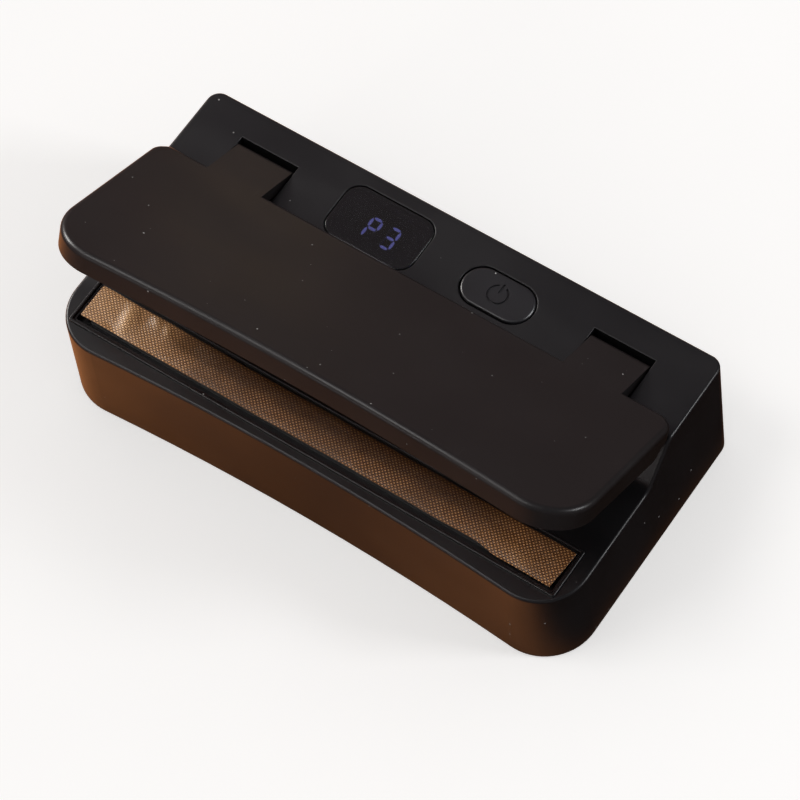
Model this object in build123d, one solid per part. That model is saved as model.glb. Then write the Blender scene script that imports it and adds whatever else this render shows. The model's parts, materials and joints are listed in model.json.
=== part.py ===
from build123d import *
import os
from math import atan2, cos, sin, sqrt

# Handheld bag heat sealer: a block-shaped case with a raised rear deck, a low front shelf that
# carries the heated sealing strip, and a sprung press lid that hinges at the deck.
# Units are millimetres. +X is the long axis, -Y is the front where the bag goes in, +Z is up.
# The origin is on the table, under the middle of the case.

# ---- case ----
length = 160.0                # outline at deck level, along X
width = 79.2                  # outline at deck level, along Y
deck_height = 41.7
shelf_height = 30.9
draft = 1.2                   # how far each wall leans out between the deck and the table
wall = 2.2
front_corner_radius = 13.7
rear_corner_radius = 3.7
waist = 2.4                   # how far the middle of the front wall curves inward
rim_radius = 0.8              # rounding of the case's upper edges
edge_break = 0.25             # rounding of the edges of openings in the deck
ramp_top_y = 13.4             # the ramp runs from the deck down to the shelf
ramp_foot_y = 2.8
ramp_top_radius = 3.2
ramp_foot_radius = 5.0
foot_drop = 0.6               # the feet lift the case by this much
foot_edge_radius = 0.3
cover_thickness = 2.4
fit_gap = 0.15                # gap round a part that drops into an opening
seat_gap = 0.1                # gap round a foot or a battery cell in its seat

# ---- hinge ----
open_angle = 24.5             # the lid rests open by this angle
pin_y = 27.1
pin_z = deck_height - 5.0
pin_radius = 1.25
pin_running_gap = 0.05
pin_chamfer = 0.2
pin_grip = 3.0                # length of pin held in the case on each side of a slot
knuckle_radius = 3.2
slot_x = 55.6                 # middle of each hinge slot
slot_width = 18.4
slot_rear = 30.6
slot_front = 5.5
slot_floor = 31.9
pocket_wall = 1.6
tab_width = 17.5
tab_edge_radius = 2.0
tab_flat_end = 25.7
tab_root = 8.0
tab_thickness = 3.6

# ---- return springs ----
spring_y = 19.4
spring_radius = 2.15
spring_wire = 0.7
spring_pitch = 2.0
spring_foot_z = 24.6
spring_turns_height = 14.9
rest_gap = 0.05               # under a spring or the magnet, where it rests on its seat
well_radius = 3.2
well_wall = 1.4

# ---- lid, given in its closed position ----
lid_overhang = 0.2
lid_rear = 12.4
lid_rear_radius = 4.0
lid_wall = 1.8
lid_rear_wall = 2.8
lid_top = 2.0
lid_edge_radius = 1.6
lid_bottom_rear_y = 4.7
lid_bottom_rear_z = 33.5
lid_bottom_front_z = 35.4
lid_blunt = 0.5               # height of the lid's upright rear edge
lid_heel_radius = 2.0
lid_cover_thickness = 1.6
lid_cover_recess = 0.3
lid_cover_gap = 0.2           # between the lid's inner cover and the screw bosses above it
magnet_x = 10.0
magnet_y = -1.5
magnet_radius = 2.0
magnet_height = 2.0

# ---- sealing jaw ----
jaw_y = -27.5                 # middle of the sealing strip's frame
frame_length = 152.0
frame_width = 15.0
frame_bead = 0.9
frame_rise = 0.7
frame_corner = 0.8
bead_radius = 0.3
tray_length = 151.0
tray_width = 14.0
tray_corner = 3.0
tray_floor_z = 27.0
tray_floor_thickness = 1.4
tray_wall = 1.0
tray_inner_corner = 0.6
strip_y = -27.25
strip_length = 149.2
strip_width = 11.5
strip_thickness = 0.5
strip_gap = 0.05              # between the strip and the heating element under it
strip_corner = 0.3
pad_length = 143.0
pad_width = 8.8
pad_corner = 0.5
ribbon_thickness = 0.15
ribbon_width = 4.0
ribbon_end_x = 72.0
ribbon_tail_z = 23.0
ribbon_slot_gap = 0.35
terminal_length = 3.0
terminal_width = 6.0
terminal_drop = 0.5
bar_length = 150.0
bar_width = 12.4
bar_bottom = 33.7
press_length = 148.0
press_width = 10.4
press_bottom = 31.95
press_edge_radius = 0.6

# ---- display and button ----
window_left = -31.2
window_right = -4.0
window_front = 18.0
window_rear = 35.0
window_radius = 4.5
window_thickness = 1.4
window_gap = 0.3
window_edge_radius = 0.3
ledge = 1.2
module_size = (15.0, 10.0)
module_top = deck_height - wall + 0.3
digit_centres = (-19.3, -14.0)
digit_y = 25.7
digit_height = 7.2
digit_width = 3.5
digit_spread = 0.4            # how far the upright bars stand outside the level ones
segment_width = 0.9
segment_gap = 0.1
segment_thickness = 0.25
button_x = 20.0
button_y = 25.65
button_length = 22.0
button_width = 12.5
button_gap = 0.4
button_rise = 0.25
button_edge_radius = 0.7
flange_reach = 0.8
flange_thickness = 1.0
flange_top = deck_height - wall - 0.15
power_mark_radius = 3.0
power_mark_line = 0.55
power_mark_depth = 0.45

# ---- electronics ----
board_half_length = 41.0
board_front = 7.0
board_rear = 36.5
board_z = 29.4
board_thickness = 1.6
board_top = board_z + board_thickness
# Limits along X and Y and the height of the controller, the heater switch and the charging coil.
chip_sizes = (((-4, 1), (10, 15), 1.0), ((-26, -16), (8.5, 14.5), 1.2), ((30, 36), (17, 23), 3.0))
sensor_y = 8.4
sensor_size = (4.0, 2.0, 1.2)
switch_width = 6.0
switch_height = 4.0
switch_well_height = 2.4
switch_well_radius = 1.9
plunger_radius = 1.7
plunger_bottom = 3.2          # above the board
port_width = 8.9
port_height = 3.2
port_corner = 1.2
port_depth = 7.2
port_wall = 0.3
port_back = 1.2
port_gap = 0.2
port_z = board_top + port_height / 2
tongue_width = 6.6
tongue_thickness = 0.7
tongue_recess = 0.8
cell_radius = 9.2
cell_length = 65.2
cell_x = 0.6
cell_z = 12.8
cell_rows = (-24.2, -4.6)
cell_edge_radius = 0.6
nickel_length = 26.0
nickel_width = 6.0
nickel_thickness = 0.3
saddle_x = 22.0
saddle_thickness = 2.4
saddle_top = 9.5
saddle_ends = (-34.5, 5.5)
lead_radius = 0.8
# The right heater lead runs from its terminal round the cells to the board. The left one mirrors it.
heater_lead_route = ((73.7, strip_y, ribbon_tail_z - terminal_drop), (73.7, strip_y, 15), (60, -20, 11),
                     (46, -6, 14), (35, 14, 20), (35, 14, board_z))
heater_lead_bend = 4.0
battery_lead_y = -4.0
battery_lead_rear = 9.0
battery_lead_out = 3.4        # how far a battery lead stands off the end of its cell
battery_lead_turn_z = 23.0
battery_lead_bend = 1.6

# ---- fasteners and feet ----
case_screw_places = ((-72.5, 33.0), (72.5, 33.0), (-70.5, -12.0), (70.5, -12.0))
board_screw_places = ((-38.0, 33.5), (38.0, 33.5), (-38.0, 12.0), (38.0, 12.0))
lid_screw_places = ((-70.0, -14.0), (0.0, -14.0), (70.0, -14.0), (-36.0, -3.5), (36.0, -3.5))
foot_places = ((-61.0, 27.0), (61.0, 27.0), (-57.0, -28.0), (57.0, -28.0))
foot_radius = 5.0
foot_recess = 1.0
case_boss_radius = 3.0
case_screw_radius = 1.1
case_screw_length = 10.0
case_head_radius = 2.3
case_head_height = 1.3
case_head_recess = 1.5
case_bore_depth = 11.0        # above the bottom cover
small_boss_radius = 2.5
small_screw_radius = 0.9
small_head_radius = 1.7
board_screw_length = 5.5
board_head_height = 1.1
board_bore_depth = 5.0
lid_screw_length = 5.0
lid_head_height = 0.8
lid_head_recess = 0.9
lid_bore_depth = 6.6
drive_depth = 0.7
drive_share = 0.45            # hexagon socket, as a share of the head
head_gap = 0.2
cut_reach = 1.0               # how far a cutting shape runs past the face that it opens

sides = (-1, 1)


# ---------------------------------------------------------------- shared shapes
def lean(z):
    """Outward offset of the case wall at height z, from the draft."""
    return draft * (1 - z / deck_height)


def box(x_range, y_range, z_range):
    """Box between the given pairs of limits."""
    size = [high - low for low, high in (x_range, y_range, z_range)]
    middle = [(high + low) / 2 for low, high in (x_range, y_range, z_range)]
    return Pos(*middle) * Box(*size)


def cylinder(x, y, z_range, radius):
    """Upright cylinder between two heights."""
    bottom, top = z_range
    return Pos(x, y, (bottom + top) / 2) * Cylinder(radius, top - bottom)


def plan_outline(grow, rear_y=width / 2, rear_radius=rear_corner_radius):
    """Outline seen from above, with every wall moved outward by grow."""
    corner_x = length / 2 - front_corner_radius
    corner_y = -width / 2 + front_corner_radius
    # The waist arc touches both front corner arcs, so their centres lie this far apart.
    centre_distance = (corner_x ** 2 / waist + waist) / 2
    waist_y = corner_y - (centre_distance - waist)
    waist_radius = centre_distance - front_corner_radius - grow
    reach = waist_radius / centre_distance
    touch = (corner_x * reach, waist_y + (centre_distance - waist) * reach)
    corner_radius = front_corner_radius + grow
    start_angle = atan2(waist_y - corner_y, -corner_x)
    middle = (corner_x + corner_radius * cos(start_angle / 2),
              corner_y + corner_radius * sin(start_angle / 2))
    half = length / 2 + grow
    rear = rear_y + grow
    edges = [
        ThreePointArc((-touch[0], touch[1]), (0, waist_y + waist_radius), touch),
        ThreePointArc(touch, middle, (half, corner_y)),
        Line((half, corner_y), (half, rear)),
        Line((half, rear), (-half, rear)),
        Line((-half, rear), (-half, corner_y)),
        ThreePointArc((-half, corner_y), (-middle[0], middle[1]), (-touch[0], touch[1])),
    ]
    face = make_face(edges)
    return fillet(face.vertices().group_by(Axis.Y)[-1], rear_radius + grow)


def case_block(grow, bottom, top):
    """Drafted block with the case's outline, between two heights."""
    sections = [Pos(0, 0, z) * plan_outline(grow + lean(z)) for z in (bottom, top)]
    return loft(sections, ruled=True)


def side_prism(points, half_length=length):
    """Prism along X from an outline given as (y, z) points."""
    face = make_face(Polyline(*[(0, y, z) for y, z in points], close=True))
    return extrude(face, amount=half_length, dir=(1, 0, 0), both=True)


def space_above_shelf(inset):
    """Everything above the shelf and ramp, lowered by inset for the inside of the shell."""
    run = ramp_top_y - ramp_foot_y
    rise = deck_height - shelf_height
    shift = inset * (sqrt(run ** 2 + rise ** 2) - run) / rise
    foot = (ramp_foot_y + shift, shelf_height - inset)
    top = (ramp_top_y + shift, deck_height - inset)
    points = [(-width, foot[1]), foot, top, (width, top[1]),
              (width, deck_height + wall), (-width, deck_height + wall)]
    prism = side_prism(points)
    along = prism.edges().filter_by(Axis.X)
    foot_edge = along.sort_by_distance((0, foot[0], foot[1]))[0]
    prism = fillet(foot_edge, ramp_foot_radius + inset)
    along = prism.edges().filter_by(Axis.X)
    top_edge = along.sort_by_distance((0, top[0], top[1]))[0]
    return fillet(top_edge, max(ramp_top_radius - inset, 1.0))


def stadium(x, y, z_range, size, gap=0.0):
    """Upright block with round ends."""
    bottom, top = z_range
    outline = SlotOverall(size[0] + 2 * gap, size[1] + 2 * gap)
    return Pos(x, y, bottom) * extrude(outline, amount=top - bottom)


def window_block(gap, z_range):
    """Block with the display window's outline, grown by gap."""
    bottom, top = z_range
    outline = RectangleRounded(window_right - window_left + 2 * gap,
                               window_rear - window_front + 2 * gap, window_radius + gap)
    middle = Pos((window_left + window_right) / 2, (window_front + window_rear) / 2, bottom)
    return middle * extrude(outline, amount=top - bottom)


def rounded_bar(x_size, y_size, z_range, y_middle, corner):
    """Long bar along X with small upright corners rounded."""
    bottom, top = z_range
    outline = RectangleRounded(x_size, y_size, corner)
    return Pos(0, y_middle, bottom) * extrude(outline, amount=top - bottom)


# ---------------------------------------------------------------- case shell
def slot_cut(side):
    middle = side * slot_x
    half = slot_width / 2
    return box((middle - half, middle + half), (slot_front, slot_rear), (slot_floor, deck_height + wall))


def slot_pocket(side):
    """Walls that carry the hinge pin round one slot, before the slot is cut."""
    middle = side * slot_x
    half = slot_width / 2 + pin_grip
    pocket = box((middle - half, middle + half), (slot_front, slot_rear + pocket_wall),
                 (slot_floor - pocket_wall, deck_height))
    well = cylinder(middle, spring_y, (spring_foot_z - pocket_wall, slot_floor), well_radius + well_wall)
    return pocket + well


def pin_bore(side, radius):
    reach = slot_width / 2 + pin_grip
    bore = Cylinder(radius, 2 * reach, rotation=(0, 90, 0))
    return Pos(side * slot_x, pin_y, pin_z) * bore


def upward_rim(block):
    """Edges where an upward face of the block meets one of its walls."""
    least_upward = 0.3
    upward = [face for face in block.faces() if face.normal_at().Z > least_upward]

    def count(edge):
        return sum(any(edge.is_same(other) for other in face.edges()) for face in upward)

    return [edge for edge in block.edges() if count(edge) == 1]


def bosses(places, radius, bottom, top):
    return [cylinder(x, y, (bottom, top), radius) for x, y in places]


def case_screw_bores():
    top = foot_drop + cover_thickness + case_bore_depth
    return bosses(case_screw_places, case_screw_radius, foot_drop, top)


def board_screw_bores():
    return bosses(board_screw_places, small_screw_radius, board_z, board_top + board_bore_depth)


def port_block(gap, y_range):
    """Rounded block of the charging port, grown by gap."""
    front, rear = y_range
    outline = Plane.XZ * RectangleRounded(port_width + 2 * gap, port_height + 2 * gap, port_corner + gap)
    return Pos(0, rear, port_z) * extrude(outline, amount=rear - front)


def upper_housing():
    outer = case_block(0, foot_drop, deck_height) - space_above_shelf(0)
    outer = fillet(upward_rim(outer), rim_radius)
    inner = case_block(-wall, foot_drop - cut_reach, deck_height) - space_above_shelf(wall)
    inside = [slot_pocket(side) for side in sides]
    inside += bosses(case_screw_places, case_boss_radius, foot_drop + cover_thickness, deck_height)
    inside += bosses(board_screw_places, small_boss_radius, board_top, deck_height)
    shell = (outer - inner) + [outer & piece for piece in inside]
    for side in sides:
        shell -= slot_cut(side)
        shell -= pin_bore(side, pin_radius)
        shell -= cylinder(side * slot_x, spring_y, (spring_foot_z, slot_floor + cut_reach), well_radius)
    shell -= case_screw_bores() + board_screw_bores()
    window_bottom = deck_height - window_thickness
    shell -= window_block(window_gap, (window_bottom, deck_height + cut_reach))
    shell -= window_block(-ledge, (window_bottom - wall, window_bottom))
    shell -= stadium(button_x, button_y, (deck_height - wall - cut_reach, deck_height + cut_reach),
                     (button_length, button_width))
    shell -= rounded_bar(tray_length + 2 * fit_gap, tray_width + 2 * fit_gap,
                         (shelf_height - wall - cut_reach, shelf_height + cut_reach), jaw_y,
                         tray_corner + fit_gap)
    shell -= port_block(port_gap, (width / 2 - 2 * wall, width / 2 + 2 * cut_reach))
    return fillet(opening_edges(shell), edge_break)


def opening_edges(shell):
    """Upper edges of the slots, the display opening and the button opening."""
    half = slot_width / 2
    areas = [((side * slot_x - half, side * slot_x + half), (slot_front, slot_rear)) for side in sides]
    areas.append(((window_left - window_gap, window_right + window_gap),
                  (window_front - window_gap, window_rear + window_gap)))
    areas.append(((button_x - button_length / 2, button_x + button_length / 2),
                  (button_y - button_width / 2, button_y + button_width / 2)))
    slack = 0.1

    def within(value, limits):
        return limits[0] - slack < value < limits[1] + slack

    def round_an_opening(middle):
        above_floor = middle.Z > shelf_height + 2
        return above_floor and any(within(middle.X, x) and within(middle.Y, y) for x, y in areas)

    return [edge for edge in upward_rim(shell) if round_an_opening(edge.center())]


def bottom_cover():
    """Flat cover with saddles for the battery cells and recesses for the feet."""
    bottom = foot_drop
    top = foot_drop + cover_thickness
    plate = Pos(0, 0, bottom) * extrude(plan_outline(lean(top) - wall - fit_gap), amount=cover_thickness)
    for side in sides:
        limits = (side * saddle_x - saddle_thickness / 2, side * saddle_x + saddle_thickness / 2)
        plate += box(limits, saddle_ends, (top, saddle_top))
    for y in cell_rows:
        plate -= cell_rod(y, cell_radius + seat_gap)
    plate -= bosses(foot_places, foot_radius + seat_gap, bottom, bottom + foot_recess)
    plate -= bosses(case_screw_places, case_screw_radius + fit_gap, bottom, top)
    plate -= bosses(case_screw_places, case_head_radius + 2 * fit_gap, bottom, bottom + case_head_recess)
    return plate


def screw(x, y, seat_z, shank_radius, shank_length, head_radius, head_height):
    """Screw driven upward: its head is under seat_z and its shank above."""
    head = cylinder(x, y, (seat_z - head_height, seat_z), head_radius)
    shank = cylinder(x, y, (seat_z, seat_z + shank_length), shank_radius)
    socket = extrude(RegularPolygon(head_radius * drive_share, 6), amount=drive_depth)
    return head + shank - Pos(x, y, seat_z - head_height) * socket


def case_screws():
    seat = foot_drop + case_head_recess
    return [screw(x, y, seat, case_screw_radius, case_screw_length, case_head_radius, case_head_height)
            for x, y in case_screw_places]


def rubber_feet():
    feet = []
    for x, y in foot_places:
        foot = cylinder(x, y, (0, foot_drop + foot_recess), foot_radius)
        feet.append(fillet(foot.edges().group_by(Axis.Z)[0], foot_edge_radius))
    return feet


# ---------------------------------------------------------------- display and button
def display_window():
    top = deck_height
    window = window_block(0, (top - window_thickness, top))
    return fillet(window.edges().group_by(Axis.Z)[-1], window_edge_radius)


def display_module():
    middle = sum(digit_centres) / 2
    half_x, half_y = module_size[0] / 2, module_size[1] / 2
    across = (digit_y - half_y, digit_y + half_y)
    return box((middle - half_x, middle + half_x), across, (board_top, module_top))


def segment(x, y, upright):
    """One pointed bar of a digit, lying flat."""
    reach = (digit_height / 2 if upright else digit_width) / 2 - segment_gap
    half = segment_width / 2
    points = [(-reach, 0), (-reach + half, half), (reach - half, half),
              (reach, 0), (reach - half, -half), (-reach + half, -half)]
    outline = make_face(Polyline(*points, close=True))
    turn = 90 if upright else 0
    return Pos(x, y, module_top) * extrude(Rot(0, 0, turn) * outline, amount=segment_thickness)


def display_segments():
    bars = []
    side_x = (digit_width - segment_width) / 2 + digit_spread
    for centre in digit_centres:
        for level in (-1, 0, 1):
            bars.append(segment(centre, digit_y + level * (digit_height - segment_width) / 2, False))
        for side in sides:
            for level in sides:
                bars.append(segment(centre + side * side_x, digit_y + level * digit_height / 4, True))
    return bars


def power_button():
    size = (button_length - 2 * button_gap, button_width - 2 * button_gap)
    top = deck_height + button_rise
    bottom = flange_top - flange_thickness
    cap = stadium(button_x, button_y, (bottom, top), size)
    cap = fillet(cap.edges().group_by(Axis.Z)[-1], button_edge_radius)
    flange_size = (button_length + 2 * flange_reach, button_width + 2 * flange_reach)
    flange = stadium(button_x, button_y, (bottom, flange_top), flange_size)
    return cap + flange - power_mark(top)


def power_mark(top):
    """Engraved ring, open at the top, with an upright bar."""
    radius = power_mark_radius
    line = power_mark_line
    ring = Circle(radius) - Circle(radius - line)
    ring -= Pos(0, radius) * Rectangle(4 * line, radius)
    mark = ring + Pos(0, 0.65 * radius) * Rectangle(line, radius)
    return Pos(button_x, button_y, top - power_mark_depth) * extrude(mark, amount=2 * power_mark_depth)


def tact_switch():
    half = switch_width / 2
    top = board_top + switch_height
    body = box((button_x - half, button_x + half), (button_y - half, button_y + half), (board_top, top))
    well = (board_top + switch_well_height, top + cut_reach)
    return body - cylinder(button_x, button_y, well, switch_well_radius)


def switch_plunger():
    limits = (board_top + plunger_bottom, flange_top - flange_thickness)
    return cylinder(button_x, button_y, limits, plunger_radius)


# ---------------------------------------------------------------- electronics
def main_board():
    board = box((-board_half_length, board_half_length), (board_front, board_rear), (board_z, board_top))
    return board - board_screw_bores()


def board_screws():
    return [screw(x, y, board_z, small_screw_radius, board_screw_length, small_head_radius, board_head_height)
            for x, y in board_screw_places]


def board_chips():
    """Controller, heater switch and charging coil, as separate solids on the board."""
    return [box(x_range, y_range, (board_top, board_top + height)) for x_range, y_range, height in chip_sizes]


def lid_sensor():
    """Sensor on the board, under the place that the lid's magnet comes down to."""
    half_x, half_y, height = sensor_size[0] / 2, sensor_size[1] / 2, sensor_size[2]
    return box((magnet_x - half_x, magnet_x + half_x), (sensor_y - half_y, sensor_y + half_y),
               (board_top, board_top + height))


def usb_port():
    """Charging port: a drawn shell, open at the rear, with a contact tongue inside."""
    rear = width / 2
    front = rear - port_depth
    shell = port_block(0, (front, rear)) - port_block(-port_wall, (front + port_back, rear))
    half = tongue_width / 2
    thickness = (port_z - tongue_thickness / 2, port_z + tongue_thickness / 2)
    return shell + box((-half, half), (front + tongue_recess, rear - tongue_recess), thickness)


def cell_rod(y, radius):
    """Rod along X where a battery cell lies."""
    return Pos(cell_x, y, cell_z) * Cylinder(radius, cell_length, rotation=(0, 90, 0))


def battery_cell(y):
    cell = cell_rod(y, cell_radius)
    return fillet(cell.edges(), cell_edge_radius)


def battery_tabs():
    """Nickel strips that join the two cells at each end."""
    middle = sum(cell_rows) / 2
    along = (middle - nickel_length / 2, middle + nickel_length / 2)
    upward = (cell_z - nickel_width / 2, cell_z + nickel_width / 2)
    tabs = []
    for side in sides:
        inner = cell_x + side * cell_length / 2
        outer = inner + side * nickel_thickness
        tabs.append(box(sorted((inner, outer)), along, upward))
    return tabs


def lead(points, radii):
    """Insulated wire along straight runs joined by arcs."""
    path = FilletPolyline(*points, radius=radii)
    return sweep(Plane(origin=path @ 0, z_dir=path % 0) * Circle(lead_radius), path=path)


def heater_leads():
    leads = []
    for side in sides:
        route = [(side * x, y, z) for x, y, z in heater_lead_route]
        leads.append(lead(route, heater_lead_bend))
    return leads


def battery_leads():
    leads = []
    start_z = cell_z + nickel_width / 3
    for side in sides:
        start = cell_x + side * (cell_length / 2 + nickel_thickness)
        outer = start + side * battery_lead_out
        route = [(start, battery_lead_y, start_z), (outer, battery_lead_y, start_z),
                 (outer, battery_lead_rear, battery_lead_turn_z), (outer, battery_lead_rear, board_z)]
        leads.append(lead(route, battery_lead_bend))
    return leads


# ---------------------------------------------------------------- heated jaw
def heater_tray():
    """Heat-proof channel with a raised frame that sits on the shelf."""
    body = rounded_bar(tray_length, tray_width, (tray_floor_z, shelf_height), jaw_y, tray_corner)
    heights = (shelf_height, shelf_height + frame_rise)
    inner_length = frame_length - 2 * frame_bead
    inner_width = frame_width - 2 * frame_bead
    frame = rounded_bar(frame_length, frame_width, heights, jaw_y, frame_corner)
    frame -= rounded_bar(inner_length, inner_width, heights, jaw_y, bead_radius)
    frame = fillet(frame.edges().group_by(Axis.Z)[-1], bead_radius)
    tray = body + frame
    depth = (tray_floor_z + tray_floor_thickness, shelf_height + cut_reach)
    tray -= rounded_bar(tray_length - 2 * tray_wall, tray_width - 2 * tray_wall, depth, jaw_y,
                        tray_inner_corner)
    half_slot = ribbon_width / 2 + ribbon_slot_gap
    for side in sides:
        near = side * (ribbon_end_x - ribbon_slot_gap)
        far = side * (ribbon_end_x + ribbon_thickness + ribbon_slot_gap)
        tray -= box(sorted((near, far)), (strip_y - half_slot, strip_y + half_slot),
                    (tray_floor_z - cut_reach, shelf_height))
    return tray


def insulating_pad():
    top = shelf_height - ribbon_thickness
    return rounded_bar(pad_length, pad_width, (tray_floor_z + tray_floor_thickness, top), strip_y, pad_corner)


def heating_element():
    """Flat ribbon along the jaw with both ends turned down through the tray."""
    half = ribbon_width / 2
    across = (strip_y - half, strip_y + half)
    ribbon = box((-ribbon_end_x, ribbon_end_x), across, (shelf_height - ribbon_thickness, shelf_height))
    for side in sides:
        tail = sorted((side * ribbon_end_x, side * (ribbon_end_x + ribbon_thickness)))
        ribbon += box(tail, across, (ribbon_tail_z, shelf_height))
    return ribbon


def element_terminals():
    inner = ribbon_end_x + ribbon_thickness
    across = (strip_y - terminal_width / 2, strip_y + terminal_width / 2)
    upward = (ribbon_tail_z - terminal_drop, tray_floor_z)
    return [box(sorted((side * inner, side * (inner + terminal_length))), across, upward) for side in sides]


def sealing_strip():
    """Coated glass cloth over the heating element."""
    bottom = shelf_height + strip_gap
    return rounded_bar(strip_length, strip_width, (bottom, bottom + strip_thickness), strip_y, strip_corner)


# ---------------------------------------------------------------- hinge
def hinge_pin(side):
    pin = pin_bore(side, pin_radius)
    return chamfer(pin.edges(), pin_chamfer)


def return_spring(side):
    coil = Helix(spring_pitch, spring_turns_height, spring_radius)
    wire = Plane(origin=coil @ 0, z_dir=coil % 0) * Circle(spring_wire / 2)
    bottom = spring_foot_z + spring_wire / 2 + rest_gap
    return Pos(side * slot_x, spring_y, bottom) * sweep(wire, path=coil)


# ---------------------------------------------------------------- lid
def lid_bottom(y):
    """Height of the lid's lower edge at y, with the lid closed."""
    front_y = -width / 2
    share = (lid_bottom_rear_y - y) / (lid_bottom_rear_y - front_y)
    return lid_bottom_rear_z + share * (lid_bottom_front_z - lid_bottom_rear_z)


def lid_plan(inset, bottom, top):
    outline = plan_outline(lid_overhang - inset, rear_y=lid_rear, rear_radius=lid_rear_radius)
    return Pos(0, 0, bottom) * extrude(outline, amount=top - bottom)


def lid_block():
    """Solid lid: flat top, lower face hugging the ramp at the rear."""
    front = -width
    points = [(front, deck_height), (lid_rear + 1, deck_height), (lid_rear + 1, deck_height - lid_blunt),
              (lid_rear + lid_overhang, deck_height - lid_blunt), (lid_bottom_rear_y, lid_bottom_rear_z),
              (front, lid_bottom(front))]
    prism = side_prism(points)
    heel = prism.edges().filter_by(Axis.X).sort_by_distance((0, lid_bottom_rear_y, lid_bottom_rear_z))[0]
    prism = fillet(heel, lid_heel_radius)
    block = lid_plan(0, shelf_height, deck_height) & prism
    return fillet(upward_rim(block), lid_edge_radius)


def lid_hollow():
    """Space inside the lid, open underneath and walled off from the ramp."""
    front = -width
    slope = (deck_height - lid_bottom_rear_z) / (lid_rear - lid_bottom_rear_y)
    rear_low = lid_bottom_rear_y - lid_rear_wall
    ceiling = deck_height - lid_top
    rear_high = rear_low + (ceiling - lid_bottom_rear_z) / slope
    low = shelf_height - cut_reach
    points = [(front, ceiling), (rear_high, ceiling), (rear_low, lid_bottom_rear_z), (rear_low, low),
              (front, low)]
    return lid_plan(lid_wall, low, deck_height) & side_prism(points)


def hinge_tab(side):
    """Arm that reaches back from the lid and wraps the hinge pin."""
    knuckle = Circle(knuckle_radius)
    shoulder = Pos(tab_flat_end - pin_y, deck_height - tab_edge_radius - pin_z) * Circle(tab_edge_radius)
    root_middle = deck_height - pin_z - tab_thickness / 2
    root = Pos(tab_root - pin_y, root_middle) * Rectangle(0.5, tab_thickness)
    arm = make_hull(root.edges() + shoulder.edges())
    outline = arm + make_hull(knuckle.edges() + shoulder.edges())
    across = Plane(origin=(side * slot_x, pin_y, pin_z), x_dir=(0, 1, 0), z_dir=(1, 0, 0))
    tab = extrude(across * outline, amount=tab_width / 2, both=True)
    bore = Cylinder(pin_radius + pin_running_gap, tab_width + 2, rotation=(0, 90, 0))
    return tab - Pos(side * slot_x, pin_y, pin_z) * bore


def opened(shape):
    """Turn a piece of the closed lid up about the hinge pin to its resting position."""
    hinge = Axis((0, pin_y, pin_z), (1, 0, 0))
    return shape.rotate(hinge, -open_angle)


def lid_shell():
    shell = lid_block() - lid_hollow()
    ceiling = deck_height - lid_top / 2
    for x, y in lid_screw_places:
        foot = lid_bottom(y) + lid_cover_recess + lid_cover_thickness + lid_cover_gap
        shell += cylinder(x, y, (foot, ceiling), small_boss_radius)
        shell -= cylinder(x, y, (lid_bottom(y), lid_bottom(y) + lid_bore_depth), small_screw_radius)
    for side in sides:
        shell += hinge_tab(side)
    return shell


def lid_inner_cover():
    """Plate that closes the lid from below, with counterbores for its screws."""
    front = -width
    rear = lid_bottom_rear_y - lid_rear_wall - fit_gap
    low = lid_cover_recess
    high = lid_cover_recess + lid_cover_thickness
    points = [(front, lid_bottom(front) + high), (rear, lid_bottom(rear) + high),
              (rear, lid_bottom(rear) + low), (front, lid_bottom(front) + low)]
    plate = lid_plan(lid_wall + fit_gap, shelf_height, deck_height) & side_prism(points)
    for x, y in lid_screw_places:
        plate -= cylinder(x, y, (shelf_height, deck_height), small_screw_radius + 0.1)
        recess = (shelf_height, lid_bottom(y) + low + lid_head_recess)
        plate -= cylinder(x, y, recess, small_head_radius + head_gap)
    return plate


def lid_screws():
    seat = lid_cover_recess + lid_head_recess
    return [screw(x, y, lid_bottom(y) + seat, small_screw_radius, lid_screw_length, small_head_radius,
                  lid_head_height) for x, y in lid_screw_places]


def pressure_bar():
    """Stiff carrier under the lid that backs the pressure pad."""
    front = strip_y - bar_width / 2
    rear = strip_y + bar_width / 2
    points = [(front, lid_bottom(front) + lid_cover_recess), (rear, lid_bottom(rear) + lid_cover_recess),
              (rear, bar_bottom), (front, bar_bottom)]
    return side_prism(points, bar_length / 2)


def pressure_pad():
    """Silicone strip that presses the bag on the heated strip."""
    pad = box((-press_length / 2, press_length / 2), (strip_y - press_width / 2, strip_y + press_width / 2),
              (press_bottom, bar_bottom))
    return fillet(pad.edges().group_by(Axis.Z)[0], press_edge_radius)


def lid_magnet():
    """Magnet that stands on the lid's inner cover and tells the board's sensor that the lid is down."""
    lowest = lid_bottom(magnet_y - magnet_radius) + lid_cover_recess + lid_cover_thickness
    seat = lowest + rest_gap
    return cylinder(magnet_x, magnet_y, (seat, seat + magnet_height), magnet_radius)


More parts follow.
